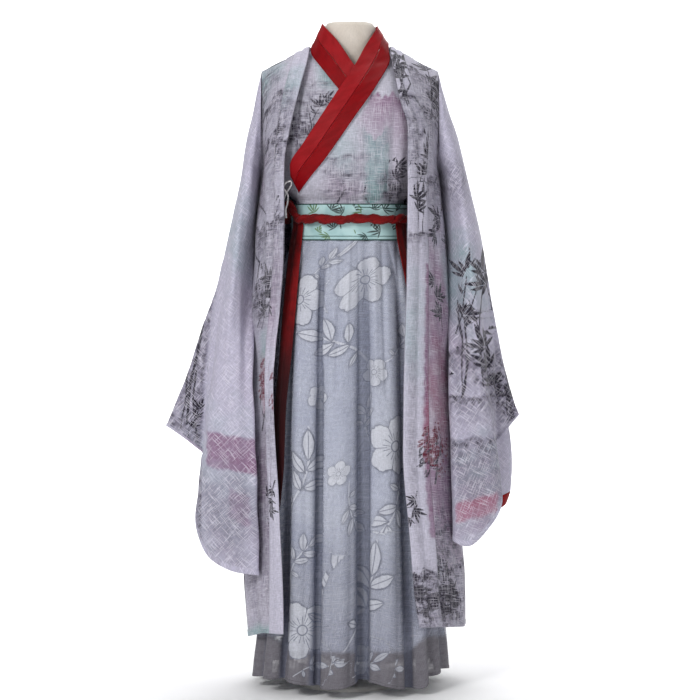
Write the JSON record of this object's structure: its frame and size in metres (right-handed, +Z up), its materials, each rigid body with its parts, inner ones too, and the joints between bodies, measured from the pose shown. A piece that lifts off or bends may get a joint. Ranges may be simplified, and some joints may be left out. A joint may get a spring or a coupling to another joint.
{
  "type": "hanfu robe set on a limbless dress form",
  "caption": "Open wide-sleeved robe over a cross-collar top and a pleated skirt with sash, shown worn on a limbless dress form on a pole stand.",
  "frame": {"origin": "centre of the bounding box at the underside of the stand's base, on the floor", "axes": "+Z up, the front of the garment towards -Y, +X to the right of someone who looks at its front"},
  "size_m": [0.7286, 0.4058, 1.363],
  "materials": {
    "robe": "printed slub gauze",
    "lapel": "printed slub gauze band",
    "top": "printed slub gauze",
    "collar": "pressed crimson satin",
    "collar_inner": "pressed coral satin",
    "tie": "white cotton cord",
    "lining": "plain weave",
    "overlay": "burnt-out organza",
    "waistband": "printed satin",
    "sash": "satin",
    "form": "undyed jersey",
    "stand": "matt white"
  },
  "bodies": {
    "root": {"form_torso": "form", "stand_pole": "stand", "stand_base": "stand", "top_back": "top", "top_front_under": "top", "top_front_over": "top", "top_sleeve_left": "top", "top_sleeve_right": "top", "top_cuff_left": "collar", "top_cuff_right": "collar", "top_collar": "collar", "top_collar_facing": "collar_inner", "top_side_tie": "tie", "skirt_waistband": "waistband", "skirt_lining": "lining", "skirt_overlay": "overlay", "sash_rope": "sash", "sash_tail_left": "sash", "sash_tail_right": "sash", "robe_back": "robe", "robe_front_left": "robe", "robe_front_right": "robe", "robe_lapel_left": "lapel", "robe_lapel_right": "lapel", "robe_neckband": "lapel", "robe_sleeve_left": "robe", "robe_sleeve_right": "robe"}
  },
  "joints": []
}
